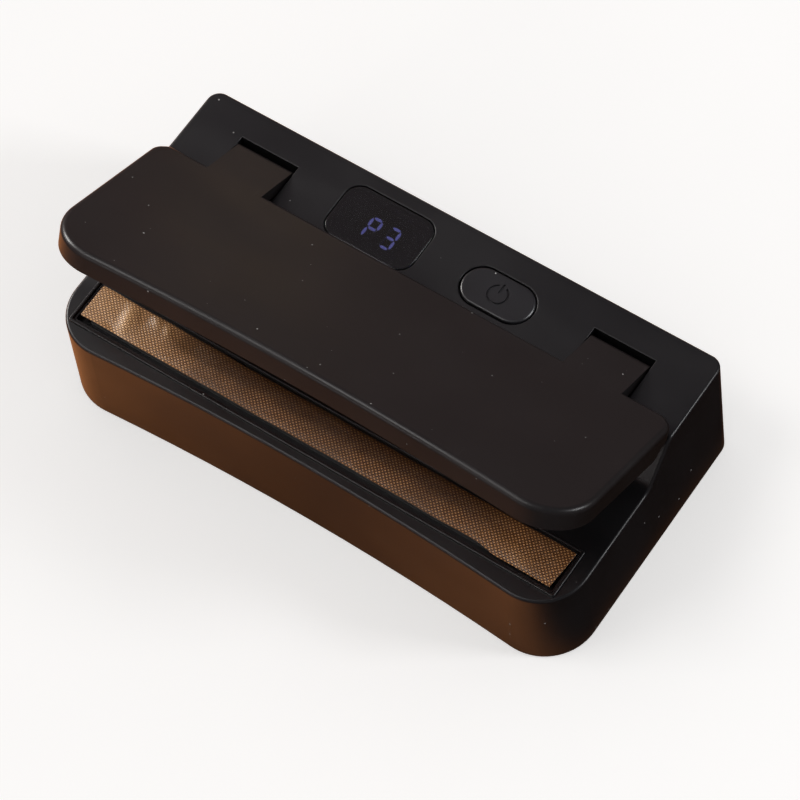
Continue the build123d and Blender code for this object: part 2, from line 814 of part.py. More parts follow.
# ---------------------------------------------------------------- all the pieces
def named_pieces():
    pieces = {
        "upper_housing": upper_housing(),
        "bottom_cover": bottom_cover(),
        "case_screws": case_screws(),
        "rubber_feet": rubber_feet(),
        "display_window": display_window(),
        "display_module": display_module(),
        "display_segments": display_segments(),
        "power_button": power_button(),
        "tact_switch": tact_switch(),
        "switch_plunger": switch_plunger(),
        "main_board": main_board(),
        "board_screws": board_screws(),
        "board_chips": board_chips(),
        "lid_sensor": lid_sensor(),
        "usb_port": usb_port(),
        "battery_cell_front": battery_cell(cell_rows[0]),
        "battery_cell_rear": battery_cell(cell_rows[1]),
        "battery_tabs": battery_tabs(),
        "battery_leads": battery_leads(),
        "heater_leads": heater_leads(),
        "heater_tray": heater_tray(),
        "insulating_pad": insulating_pad(),
        "heating_element": heating_element(),
        "element_terminals": element_terminals(),
        "sealing_strip": sealing_strip(),
        "hinge_pin_left": hinge_pin(-1),
        "hinge_pin_right": hinge_pin(1),
        "return_spring_left": return_spring(-1),
        "return_spring_right": return_spring(1),
    }
    closed_lid = {
        "lid_shell": lid_shell(),
        "lid_inner_cover": lid_inner_cover(),
        "lid_screws": lid_screws(),
        "pressure_bar": pressure_bar(),
        "pressure_pad": pressure_pad(),
        "lid_magnet": lid_magnet(),
    }
    for name, piece in closed_lid.items():
        pieces[name] = opened(as_one(piece))
    return pieces


def as_one(piece):
    """One shape from a solid or a list of separate solids."""
    return Compound(children=piece) if isinstance(piece, list) else piece


os.makedirs("parts", exist_ok=True)
for name, piece in named_pieces().items():
    export_step(as_one(piece), f"parts/{name}.step")
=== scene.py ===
import json
import math

import bmesh
import bpy
import numpy as np
from mathutils import Matrix, Vector


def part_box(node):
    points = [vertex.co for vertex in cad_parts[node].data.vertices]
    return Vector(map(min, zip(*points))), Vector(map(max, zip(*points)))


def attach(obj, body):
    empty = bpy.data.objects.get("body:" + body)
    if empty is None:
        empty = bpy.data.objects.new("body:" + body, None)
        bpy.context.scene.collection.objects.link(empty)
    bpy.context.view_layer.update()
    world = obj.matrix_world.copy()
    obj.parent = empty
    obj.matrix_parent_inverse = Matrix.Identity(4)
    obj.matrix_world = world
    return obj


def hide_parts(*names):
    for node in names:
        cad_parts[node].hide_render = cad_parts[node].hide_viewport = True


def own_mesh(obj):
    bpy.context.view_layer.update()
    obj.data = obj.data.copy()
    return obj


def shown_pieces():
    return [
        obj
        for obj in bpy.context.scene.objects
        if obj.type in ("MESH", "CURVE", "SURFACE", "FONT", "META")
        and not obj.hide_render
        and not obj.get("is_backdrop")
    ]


# Looks for the handheld bag heat sealer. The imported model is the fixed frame, in metres, with the
# front (where the bag goes in) towards -Y. New pieces are the woven sealing cloth, the lit and unlit
# digit segments, the two return springs and the silicone pressure pad. Everything else keeps its CAD
# mesh and gets a node material.

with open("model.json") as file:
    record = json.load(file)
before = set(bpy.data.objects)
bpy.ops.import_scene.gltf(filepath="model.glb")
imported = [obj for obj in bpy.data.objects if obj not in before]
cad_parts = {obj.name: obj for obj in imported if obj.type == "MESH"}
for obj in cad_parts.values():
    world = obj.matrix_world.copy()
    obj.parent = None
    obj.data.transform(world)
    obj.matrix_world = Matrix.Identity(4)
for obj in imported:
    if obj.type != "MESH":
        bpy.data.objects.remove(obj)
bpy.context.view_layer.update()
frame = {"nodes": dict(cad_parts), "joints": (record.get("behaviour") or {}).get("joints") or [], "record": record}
mm = 0.001

sides = (-1, 1)


# ---------------------------------------------------------------- places from the frame
def material_slots():
    """The record's material slot of every CAD node."""
    slots = {}
    for part in frame["record"]["subparts"]:
        slots[part["node"]] = part["material_slot"]
    return slots


def hinge_turn(degrees):
    """Matrix that turns the lid by that much from where it rests."""
    joint = next(joint for joint in frame["joints"] if joint["name"] == "lid_hinge")
    pin = Vector(joint["pos_m"])
    turn = Matrix.Rotation(math.radians(degrees), 4, Vector(joint["axis"]))
    return Matrix.Translation(pin) @ turn @ Matrix.Translation(-pin)


def closing_angle():
    """How far the lid turns from rest to shut, in degrees."""
    joint = next(joint for joint in frame["joints"] if joint["name"] == "lid_hinge")
    return joint["range_deg"][1]


def box_when_closed(node):
    """Lowest and highest corner of a lid node with the lid pressed shut."""
    turn = hinge_turn(closing_angle())
    places = np.array([turn @ vertex.co for vertex in frame["nodes"][node].data.vertices])
    return Vector(places.min(0)), Vector(places.max(0))


# ---------------------------------------------------------------- meshes
def add_object(name, mesh, smooth=True):
    """New object in the scene with that mesh, shaded smooth or flat."""
    mesh.shade_smooth() if smooth else mesh.shade_flat()
    piece = bpy.data.objects.new(name, mesh)
    bpy.context.scene.collection.objects.link(piece)
    return piece


def grid_mesh(name, places):
    """Mesh of a grid of points, given as an array of rows, columns and 3 coordinates."""
    rows, columns = places.shape[:2]
    numbers = np.arange(rows * columns).reshape(rows, columns)
    corners = (numbers[:-1, :-1], numbers[:-1, 1:], numbers[1:, 1:], numbers[1:, :-1])
    faces = np.stack([corner.ravel() for corner in corners], axis=1)
    mesh = bpy.data.meshes.new(name)
    mesh.from_pydata(places.reshape(-1, 3).tolist(), [], faces.tolist())
    return mesh


def lofted_mesh(name, sections):
    """Closed mesh through rings of points, with both ends capped."""
    shape = bmesh.new()
    rings = [[shape.verts.new(place) for place in section] for section in sections]
    count = len(rings[0])
    for near, far in zip(rings, rings[1:]):
        for i in range(count):
            j = (i + 1) % count
            shape.faces.new((near[i], near[j], far[j], far[i]))
    shape.faces.new(rings[0][::-1])
    shape.faces.new(rings[-1])
    bmesh.ops.recalc_face_normals(shape, faces=shape.faces)
    mesh = bpy.data.meshes.new(name)
    shape.to_mesh(mesh)
    shape.free()
    return mesh


def tube_sections(centres, radius, count):
    """Rings of points round a line, for lofted_mesh."""
    centres = np.array(centres)
    forward = np.gradient(centres, axis=0)
    forward /= np.linalg.norm(forward, axis=1)[:, None]
    sections = []
    for centre, ahead in zip(centres, forward):
        side = np.cross(ahead, (0, 0, 1))
        side /= np.linalg.norm(side)
        above = np.cross(side, ahead)
        angles = np.linspace(0, 2 * math.pi, count, endpoint=False)
        sections.append([centre + radius * (math.cos(a) * side + math.sin(a) * above) for a in angles])
    return sections


# ---------------------------------------------------------------- material building blocks
class Finish:
    """A node material in the making. Every texture follows the piece's own coordinates, in metres."""

    def __init__(self, name, metallic=0.0, specular=0.5, ior=1.5):
        self.material = bpy.data.materials.new(name)
        self.material.use_nodes = True
        self.tree = self.material.node_tree
        self.shader = self.tree.nodes["Principled BSDF"]
        self.shader.inputs["Metallic"].default_value = metallic
        self.shader.inputs["Specular IOR Level"].default_value = specular
        self.shader.inputs["IOR"].default_value = ior
        self.place = self.add("ShaderNodeTexCoord").outputs["Object"]
        self.normal = None

    def add(self, kind, links=None, **settings):
        """New node with its attributes set and its inputs linked or filled."""
        node = self.tree.nodes.new(kind)
        for key, value in settings.items():
            setattr(node, key, value)
        for key, value in (links or {}).items():
            self.feed(node.inputs[key], value)
        return node

    def feed(self, socket, value):
        if isinstance(value, bpy.types.NodeSocket):
            self.tree.links.new(value, socket)
        else:
            socket.default_value = value

    def math(self, operation, a, b=0.0):
        return self.add("ShaderNodeMath", {0: a, 1: b}, operation=operation).outputs[0]

    def stretched(self, scale, turn=(0.0, 0.0, 0.0)):
        """The piece's coordinates, turned and scaled differently on each axis."""
        links = {"Vector": self.place, "Rotation": turn, "Scale": scale}
        return self.add("ShaderNodeMapping", links).outputs[0]

    def noise(self, scale, detail=3.0, place=None):
        links = {"Vector": place or self.place, "Scale": scale, "Detail": detail, "Roughness": 0.55}
        return self.add("ShaderNodeTexNoise", links).outputs[0]

    def range(self, value, low, high, to_low, to_high):
        """The value, moved smoothly from one range to another and kept inside it."""
        links = {0: value, 1: low, 2: high, 3: to_low, 4: to_high}
        return self.add("ShaderNodeMapRange", links, interpolation_type="SMOOTHSTEP").outputs[0]

    def span(self, value, low, high):
        """Share of the way from low to high, from 0 to 1."""
        return self.add("ShaderNodeMapRange", {0: value, 1: low, 2: high}).outputs[0]

    def mix(self, share, a, b):
        """Colour from a to b."""
        links = {0: share, 6: a, 7: b}
        return self.add("ShaderNodeMix", links, data_type="RGBA").outputs[2]

    def bump(self, height, depth, strength=1.0):
        """Adds relief of that depth, in metres, over the relief that is there already."""
        links = {"Strength": strength, "Distance": depth, "Height": height}
        if self.normal:
            links["Normal"] = self.normal
        self.normal = self.add("ShaderNodeBump", links).outputs[0]

    def finish(self, colour, roughness):
        self.feed(self.shader.inputs["Base Color"], colour)
        self.feed(self.shader.inputs["Roughness"], roughness)
        if self.normal:
            self.feed(self.shader.inputs["Normal"], self.normal)
        return self.material


def tone(colour, factor=1.0):
    """Colour with its brightness changed, as four numbers."""
    return (colour[0] * factor, colour[1] * factor, colour[2] * factor, 1.0)


# ---------------------------------------------------------------- materials
dust_colour = (0.21, 0.205, 0.20)
hairline_stretch = 18          # a scratch is this many times longer than wide


def dust(finish, spacing, size, amount):
    """Mask of scattered dust specks, mostly tiny: spacing and largest size in metres, amount from 0 to 1."""
    cells = finish.add("ShaderNodeTexVoronoi", {"Vector": finish.place, "Scale": 1 / spacing})
    share = finish.add("ShaderNodeSeparateColor", {0: cells.outputs["Color"]})
    mostly_small = finish.math("POWER", share.outputs[1], 2.5)
    radius = finish.math("MULTIPLY", mostly_small, size / spacing)
    near = finish.math("LESS_THAN", cells.outputs["Distance"], radius)
    chosen = finish.math("LESS_THAN", share.outputs[0], amount)
    return finish.math("MULTIPLY", near, chosen)


def scratches(finish, turn, spacing, amount):
    """Mask of short hairline scratches that all run nearly one way."""
    long_scale = 1 / (spacing * hairline_stretch)
    place = finish.stretched((1 / spacing, long_scale, long_scale), turn)
    lines = finish.noise(1.0, 1.0, place)
    thin = finish.range(lines, 0.715, 0.735, 0.0, 1.0)
    patches = finish.range(finish.noise(45.0, 1.0), 0.56, 0.66, 0.0, amount)
    return finish.math("MULTIPLY", thin, patches)


def moulded_plastic(name, colour, roughness, grain=6.0e-6, dust_amount=0.5, wear=0.35, specular=0.5):
    """Satin moulded plastic: fine spark grain, faint flow unevenness, wipe marks, dust and hairlines."""
    finish = Finish(name, specular=specular)
    blotches = finish.noise(38.0, 4.0)
    body = finish.mix(finish.range(blotches, 0.3, 0.7, 0.0, 1.0), tone(colour, 0.86), tone(colour, 1.14))
    specks = dust(finish, 3.1 * mm, 0.30 * mm, dust_amount)
    marks = scratches(finish, (0.0, 0.0, 0.6), 0.35 * mm, wear)
    body = finish.mix(finish.math("MULTIPLY", marks, 0.12), body, tone(dust_colour))
    body = finish.mix(specks, body, tone(dust_colour))
    smears = finish.noise(22.0, 2.0, finish.stretched((1.0, 2.6, 1.0), (0.0, 0.0, 0.35)))
    gloss = finish.range(smears, 0.32, 0.68, roughness - 0.045, roughness + 0.045)
    gloss = finish.math("ADD", gloss, finish.math("MULTIPLY", specks, 0.4))
    finish.bump(finish.noise(150.0, 1.0), 30.0e-6, 0.35)
    finish.bump(finish.noise(3800.0, 2.0), grain)
    finish.bump(marks, -2.0e-6)
    finish.bump(specks, 20.0e-6)
    return finish.finish(body, gloss)


def smoked_window(name):
    """Dark tinted display window. It lets only strong light through, so the digits show and nothing else."""
    finish = Finish(name, specular=0.78, ior=1.49)
    finish.shader.inputs["Transmission Weight"].default_value = 0.86
    specks = dust(finish, 3.2 * mm, 0.2 * mm, 0.45)
    tint = finish.mix(finish.noise(60.0, 2.0), tone((0.046, 0.046, 0.049)), tone((0.058, 0.058, 0.061)))
    tint = finish.mix(specks, tint, tone(dust_colour))
    prints = finish.noise(90.0, 3.0, finish.stretched((1.0, 1.7, 1.0), (0.0, 0.0, 0.8)))
    gloss = finish.range(prints, 0.4, 0.7, 0.13, 0.2)
    finish.bump(finish.noise(120.0, 1.0), 12.0e-6, 0.3)
    return finish.finish(tint, gloss)


def digit_light(name, strength):
    """Glowing digit segment, its glow a little uneven."""
    finish = Finish(name)
    uneven = finish.noise(900.0, 2.0)
    glow = finish.mix(uneven, tone((0.24, 0.25, 0.80)), tone((0.32, 0.33, 0.92)))
    finish.feed(finish.shader.inputs["Emission Color"], glow)
    finish.shader.inputs["Emission Strength"].default_value = strength
    return finish.finish(tone((0.25, 0.24, 0.45)), finish.range(uneven, 0.3, 0.7, 0.4, 0.55))


def coated_cloth(name):
    """Tan glass cloth with a thin non-stick coating. The weave itself is in the mesh; the colour adds painted
    shade in the weave's gaps, painted highlights on the thread crowns, folds and left end, and the lid's painted
    shadow over the rear half.
    """
    finish = Finish(name, specular=0.6, ior=1.45)
    crown = finish.add("ShaderNodeAttribute", attribute_name="thread_height").outputs["Fac"]
    # Painted shade and highlight: the gaps between threads are painted dark and the thread crowns light, around
    # the cloth's mid tan.
    dark = tone((0.008, 0.0022, 0.0006))
    middle = tone((0.088, 0.033, 0.0090))
    light = tone((0.50, 0.255, 0.095))
    weave = finish.mix(finish.range(crown, 0.24, 0.66, 0.0, 1.0), dark, middle)
    weave = finish.mix(finish.range(crown, 0.62, 0.95, 0.0, 1.0), weave, light)
    fold_highlight_mask = finish.add("ShaderNodeAttribute", attribute_name="fold_highlight").outputs["Fac"]
    # Painted highlight: the raised folds and the left end are painted pale, most on the thread crowns.
    pale = finish.mix(finish.range(crown, 0.35, 0.9, 0.0, 1.0), middle, tone((0.90, 0.58, 0.31)))
    weave = finish.mix(fold_highlight_mask, weave, pale)
    # Painted shadow: the rear half of the cloth is painted dark where the lid shades it.
    lid_shadow_mask = finish.add("ShaderNodeAttribute", attribute_name="lid_shadow").outputs["Fac"]
    weave = finish.mix(lid_shadow_mask, weave, tone((0.016, 0.006, 0.0022)))
    stains = finish.noise(55.0, 4.0)
    weave = finish.mix(finish.range(stains, 0.45, 0.72, 0.0, 0.45), weave, tone((0.050, 0.019, 0.006)))
    fibres = finish.noise(2600.0, 2.0, finish.stretched((0.25, 1.0, 1.0)))
    weave = finish.mix(finish.range(fibres, 0.4, 0.75, 0.0, 0.18), weave, tone((0.24, 0.11, 0.035)))
    finish.bump(fibres, 14.0e-6, 0.6)
    finish.shader.inputs["Coat Weight"].default_value = 0.30
    finish.shader.inputs["Coat Roughness"].default_value = 0.18
    finish.shader.inputs["Coat Tint"].default_value = tone((1.0, 0.80, 0.56))
    return finish.finish(weave, finish.range(stains, 0.3, 0.7, 0.34, 0.46))


def worked_metal(name, colour, roughness, brush=(1.0, 40.0, 40.0), tarnish=0.25):
    """Metal with fine drawn or brushed lines and a slightly dulled skin."""
    finish = Finish(name, metallic=1.0)
    lines = finish.noise(240.0, 3.0, finish.stretched(brush))
    dull = finish.noise(160.0, 4.0)
    skin = finish.mix(finish.range(dull, 0.42, 0.75, 0.0, tarnish), tone(colour), tone(colour, 0.45))
    gloss = finish.math("ADD", finish.range(lines, 0.3, 0.7, roughness, roughness + 0.1),
                        finish.range(dull, 0.4, 0.8, 0.0, 0.15))
    finish.bump(lines, 4.0e-6, 0.5)
    return finish.finish(skin, gloss)


def soft_rubber(name, colour, roughness, grain=16.0e-6):
    """Matt rubber or silicone with a powdery bloom and a soft moulded grain."""
    finish = Finish(name, specular=0.35)
    bloom = finish.noise(110.0, 5.0)
    skin = finish.mix(finish.range(bloom, 0.35, 0.75, 0.0, 1.0), tone(colour, 0.85), tone(colour, 1.3))
    specks = dust(finish, 2.4 * mm, 0.2 * mm, 0.4)
    skin = finish.mix(finish.math("MULTIPLY", specks, 0.5), skin, tone(dust_colour))
    finish.bump(finish.noise(1900.0, 3.0), grain, 0.6)
    finish.shader.inputs["Sheen Weight"].default_value = 0.12
    finish.shader.inputs["Sheen Roughness"].default_value = 0.5
    return finish.finish(skin, finish.range(bloom, 0.3, 0.7, roughness - 0.06, roughness + 0.08))


def board_laminate(name):
    """Green solder mask with a faint glass weave and copper tracks under it."""
    finish = Finish(name)
    weave = finish.add("ShaderNodeTexWave", {"Vector": finish.place, "Scale": 300.0, "Distortion": 1.2})
    tracks = finish.add("ShaderNodeTexBrick", {"Vector": finish.place, "Scale": 110.0, "Mortar Size": 0.03})
    mask = finish.mix(weave.outputs[1], tone((0.008, 0.075, 0.030)), tone((0.012, 0.10, 0.042)))
    copper = finish.math("MULTIPLY", tracks.outputs[1], 0.55)
    mask = finish.mix(copper, mask, tone((0.05, 0.21, 0.08)))
    finish.bump(tracks.outputs[1], 20.0e-6, 0.5)
    return finish.finish(mask, finish.range(finish.noise(70.0), 0.3, 0.7, 0.28, 0.4))


def shrink_sleeve(name, colour):
    """Thin glossy plastic sleeve with shrink wrinkles."""
    finish = Finish(name)
    wrinkles = finish.noise(120.0, 3.0, finish.stretched((0.35, 1.0, 1.0)))
    skin = finish.mix(finish.range(wrinkles, 0.3, 0.7, 0.0, 1.0), tone(colour, 0.8), tone(colour, 1.15))
    finish.bump(wrinkles, 120.0e-6, 0.5)
    return finish.finish(skin, finish.range(wrinkles, 0.3, 0.7, 0.2, 0.34))


def slot_finishes():
    """One material for each material slot of the record."""
    return {
        "housing_plastic": moulded_plastic("housing_satin", (0.0062, 0.0060, 0.0068), 0.35, dust_amount=0.4),
        "lid_plastic": moulded_plastic("lid_satin", (0.0074, 0.0060, 0.0059), 0.36, dust_amount=0.8),
        "cover_plastic": moulded_plastic("cover_grain", (0.011, 0.011, 0.012), 0.55, grain=22.0e-6),
        "button_plastic": moulded_plastic("button_satin", (0.0064, 0.0064, 0.0074), 0.29,
                                          wear=0.6, specular=0.62),
        "tray_plastic": moulded_plastic("tray_satin", (0.0060, 0.0058, 0.0062), 0.30, dust_amount=0.7),
        "window_gloss": smoked_window("smoked_window"),
        "display_glow": digit_light("unlit_segment", 0.0),
        "module_plastic": moulded_plastic("module_matt", (0.004, 0.004, 0.004), 0.7, dust_amount=0.0),
        "board_laminate": board_laminate("board_laminate"),
        "port_steel": worked_metal("port_plate", (0.62, 0.61, 0.59), 0.22),
        "cell_sleeve": shrink_sleeve("cell_sleeve", (0.03, 0.12, 0.30)),
        "nickel_strip": worked_metal("nickel_strip", (0.66, 0.63, 0.57), 0.26),
        "lead_sleeve": shrink_sleeve("lead_sleeve", (0.32, 0.015, 0.012)),
        "pad_silicone": soft_rubber("pressure_silicone", (0.25, 0.055, 0.030), 0.5),
        "backing_black": soft_rubber("backing_silicone", (0.008, 0.0075, 0.0075), 0.6),
        "heater_ribbon": worked_metal("heater_ribbon", (0.42, 0.38, 0.33), 0.34, tarnish=0.6),
        "terminal_brass": worked_metal("terminal_brass", (0.68, 0.47, 0.18), 0.28),
        "glass_cloth": coated_cloth("coated_glass_cloth"),
        "pin_steel": worked_metal("pin_steel", (0.52, 0.52, 0.53), 0.24, brush=(40.0, 1.0, 1.0)),
        "spring_steel": worked_metal("spring_steel", (0.46, 0.45, 0.44), 0.27, brush=(1.0, 1.0, 0.3)),
        "screw_steel": worked_metal("screw_black", (0.12, 0.12, 0.125), 0.36, brush=(1.0, 1.0, 1.0)),
        "bar_aluminium": worked_metal("bar_aluminium", (0.60, 0.60, 0.61), 0.33, brush=(0.5, 40.0, 40.0)),
        "magnet_nickel": worked_metal("magnet_nickel", (0.64, 0.62, 0.58), 0.16, brush=(1.0, 1.0, 1.0)),
        "foot_rubber": soft_rubber("foot_rubber", (0.014, 0.014, 0.014), 0.7),
    }


def dress_frame(finishes):
    """Gives every CAD node the material of its slot."""
    slots = material_slots()
    for name, node in frame["nodes"].items():
        node.data.materials.clear()
        node.data.materials.append(finishes[slots[name]])


def stand_for(piece, body, slot, material, *nodes):
    """Finishes a new piece: its material, its body and the CAD nodes that it replaces. The slot argument is not
    used.
    """
    piece.data.materials.append(material)
    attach(piece, body)
    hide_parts(*nodes)


# ---------------------------------------------------------------- sealing cloth
thread_pitch = 0.56 * mm
thread_swing = 0.070 * mm      # how far a thread's middle rises and falls
thread_crown = 0.090 * mm      # how far a thread's back stands over its edges
weft_share = 0.70              # height of the threads across, as a share of that of those along
samples_along = 4              # per thread
samples_across = 5
warp_flatness = 0.4            # below 1, the threads along stay longer on top before they dive
thread_roundness = 0.9         # square of how much of its pitch a thread fills
gap_floor = -0.2               # share of the swing: the gaps are no deeper than this
cloth_thickness = 0.10 * mm
cloth_crown = 0.14 * mm        # the middle of the strip stands over its edges by this much
cloth_edge_drop = 0.25 * mm
cloth_top_gap = 0.34 * mm      # the cloth's highest thread stands this far over its CAD solid's top
edge_drop_power = 9            # the edges turn down only close to the cut
edge_waver = 0.10 * mm         # how far the long cut edges wander, and how far in they start
end_gaps = (0.5 * mm, 0.3 * mm)  # the left and right ends stay this far inside the CAD solid
right_end_skew = 0.9 * mm      # the right end is cut this much shorter at the front
skew_power = 1.5
pucker_height = 0.045 * mm     # faint waves in the cloth, in two directions
cross_pucker_height = 0.030 * mm
front_inset = 0.95 * mm        # the cut along the front is this far back, up to the place below
inset_end = 0.87               # share of the strip's length
inset_bend = 0.014             # share of the strip's length
fold_slant = 0.5               # the folds run aslant to the strip
full_highlight_fold = 0.6 * mm         # a fold this high gets the full painted highlight all over
left_end_highlight = 0.40          # how strong the painted highlight is at the left end
left_end_highlight_reach = 0.19          # share of the strip's length
lid_shadow_share = 0.62            # how dark the lid's painted shadow makes the rear half
lid_shadow_ends = (0.175, 0.86)    # shares of the strip's length
lid_shadow_front = 0.50            # share of the strip's width
lid_shadow_waver = 0.06            # how far that front edge wanders, as a share of the strip's width
lid_shadow_blur = 0.10             # softness of the front edge
lid_shadow_end_blurs = (0.02, 0.06)    # softness of the left and right ends
# Soft folds pressed into the cloth: share along, share across, reach along, reach across, height.
cloth_folds = (
    (0.080, 0.55, 1.7 * mm, 4.2 * mm, 0.42 * mm),
    (0.105, 0.78, 1.5 * mm, 2.2 * mm, -0.26 * mm),
    (0.130, 0.84, 1.5 * mm, 1.8 * mm, 0.34 * mm),
    (0.155, 0.80, 1.3 * mm, 1.8 * mm, 0.30 * mm),
    (0.190, 0.84, 4.4 * mm, 2.4 * mm, -0.34 * mm),
    (0.055, 0.20, 3.0 * mm, 2.2 * mm, -0.14 * mm),
    (0.915, 0.22, 3.6 * mm, 2.2 * mm, 0.10 * mm),
    (0.870, 0.70, 4.6 * mm, 2.4 * mm, -0.14 * mm),
    (0.940, 0.60, 2.4 * mm, 2.4 * mm, -0.10 * mm),
)


def plain_weave(along, across):
    """Height of a plain weave from 0 in the gaps to 1 on the crowns, at places in thread pitches."""
    warp_row = np.floor(across)
    weft_row = np.floor(along)
    warp_wave = (-1.0) ** warp_row * np.cos(math.pi * (along - 0.5))
    warp_middle = np.sign(warp_wave) * np.abs(warp_wave) ** warp_flatness
    weft_middle = -((-1.0) ** weft_row) * np.cos(math.pi * (across - 0.5))
    warp_back = np.sqrt(np.clip(1 - (2 * (across - warp_row) - 1) ** 2 / thread_roundness, 0, 1))
    weft_back = np.sqrt(np.clip(1 - (2 * (along - weft_row) - 1) ** 2 / thread_roundness, 0, 1))
    warp = thread_swing * warp_middle + thread_crown * warp_back
    weft = thread_swing * weft_middle + thread_crown * weft_back
    height = np.maximum(np.maximum(warp, weft_share * weft), gap_floor * thread_swing)
    return height / (thread_swing + thread_crown)


def ripple(x, lengths, seed):
    """Mean of a few sines of these lengths, in metres, at most 1 high, the same each run."""
    chance = np.random.default_rng(seed)
    total = np.zeros_like(x)
    for length in lengths:
        total += np.sin(2 * math.pi * x / length + chance.uniform(0, 2 * math.pi))
    return total / len(lengths)


def soft_step(values, middle, reach):
    """Rises from 0 to 1 round the middle."""
    return (1 + np.tanh((values - middle) / reach)) / 2


def cloth_plan(low, high, share_along, share_across):
    """Where the cloth's points lie, seen from above, with long cut edges that waver."""
    size = high - low
    flat_x = share_along * size.x
    front = edge_waver * ripple(flat_x, (0.071, 0.043, 0.019), 3) + edge_waver
    rear = edge_waver * ripple(flat_x, (0.093, 0.037, 0.017), 5) + edge_waver
    front += front_inset * soft_step(-share_along, -inset_end, inset_bend)
    y = low.y + front + share_across * (size.y - front - rear)
    left_end = low.x + end_gaps[0]
    right_end = high.x - end_gaps[1] - right_end_skew * (1 - share_across) ** skew_power
    return left_end + share_along * (right_end - left_end), y


def cloth_relief(x, y, low, size, share_along, share_across):
    """How far the cloth stands up, without its weave, and how strong the painted highlight is on its folds and
    left end.
    """
    from_middle = np.abs(2 * share_across - 1)
    lift = cloth_crown * (1 - from_middle ** 2) - cloth_edge_drop * from_middle ** edge_drop_power
    lift += pucker_height * ripple(x + 0.6 * y, (0.023, 0.014, 0.009), 7)
    lift += cross_pucker_height * ripple(x - 1.3 * y, (0.013, 0.007), 9)
    # Painted highlight, strongest at the left end and on the raised folds.
    fold_highlight = left_end_highlight * np.exp(-(share_along / left_end_highlight_reach) ** 2)
    for along, across, reach_x, reach_y, height in cloth_folds:
        offset_x = (x - low.x - along * size.x) / reach_x
        offset_y = (y - low.y - across * size.y) / reach_y
        fold = np.exp(-(offset_x + fold_slant * offset_y) ** 2 - offset_y ** 2)
        lift += height * fold
        fold_highlight += max(height, 0.0) / full_highlight_fold * fold
    return lift, np.clip(fold_highlight, 0, 1)


def cloth_lid_shadow(flat_x, share_along, share_across):
    """How dark the lid's painted shadow makes each point of the cloth."""
    front_edge = lid_shadow_front + lid_shadow_waver * ripple(flat_x, (0.047, 0.021, 0.012), 11)
    lid_shadow = lid_shadow_share * soft_step(share_across, front_edge, lid_shadow_blur)
    lid_shadow *= soft_step(share_along, lid_shadow_ends[0], lid_shadow_end_blurs[0])
    return lid_shadow * soft_step(-share_along, -lid_shadow_ends[1], lid_shadow_end_blurs[1])


def sealing_cloth(material):
    """Woven strip over the heating element, slightly puckered, with cut edges that waver."""
    low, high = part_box("sealing_strip")
    size = high - low
    rows = int(size.y / thread_pitch * samples_across)
    columns = int(size.x / thread_pitch * samples_along)
    share_along, share_across = np.meshgrid(np.linspace(0, 1, columns), np.linspace(0, 1, rows))
    x, y = cloth_plan(low, high, share_along, share_across)
    weave = plain_weave((x - low.x) / thread_pitch, (y - low.y) / thread_pitch)
    lift, fold_highlight = cloth_relief(x, y, low, size, share_along, share_across)
    z = lift + weave * (thread_swing + thread_crown)
    z += high.z + cloth_top_gap - z.max()
    z = np.maximum(z, low.z + cloth_thickness)
    mesh = grid_mesh("sealing_cloth", np.stack([x, y, z], axis=2))
    # Painted shadow of the lid over the rear half, kept as a point attribute for the material.
    lid_shadow = cloth_lid_shadow(share_along * size.x, share_along, share_across)
    for name, values in (("thread_height", weave), ("fold_highlight", fold_highlight), ("lid_shadow", lid_shadow)):
        attribute = mesh.attributes.new(name, "FLOAT", "POINT")
        attribute.data.foreach_set("value", values.ravel().astype(np.float32))
    cloth = add_object("sealing_cloth", mesh)
    body = cloth.modifiers.new("cloth thickness", "SOLIDIFY")
    body.thickness = cloth_thickness
    body.offset = -1
    stand_for(cloth, "case", "glass_cloth", material, "sealing_strip")


# ---------------------------------------------------------------- digits
lit_bars = {0: "abefg", 1: "abcdg"}       # the digits read P3: left and right digit
digit_offset = 0.303           # from the display's middle to a digit's, as a share of both digits' width
bar_seat = 0.9 * mm            # width of the place that a bar has in its digit
upright_bar = 2.62 * mm        # lengths of the bars
level_bar = 2.35 * mm
bar_widths = (0.78 * mm, 0.78 * mm, 0.58 * mm)    # at a bar's foot, shoulder and top
shoulder_share = 2 / 3         # of a bar's height
leaf_power = 2.4               # the two shape the bar's pointed ends
leaf_bulge = 0.55
leaf_points = 13
lit_strength = 5.5             # how strongly a lit bar glows


def leaf_ring(length, width, z, turned, centre):
    """Outline of one leaf-shaped bar, pointed at both ends."""
    steps = np.linspace(-1, 1, leaf_points)
    half = width / 2 * (1 - np.abs(steps) ** leaf_power) ** leaf_bulge
    ring = [(s * length / 2, h) for s, h in zip(steps, half)]
    ring += [(s * length / 2, -h) for s, h in zip(steps[-2:0:-1], half[-2:0:-1])]
    if turned:
        ring = [(-v, u) for u, v in ring]
    return [(centre[0] + u, centre[1] + v, z) for u, v in ring]


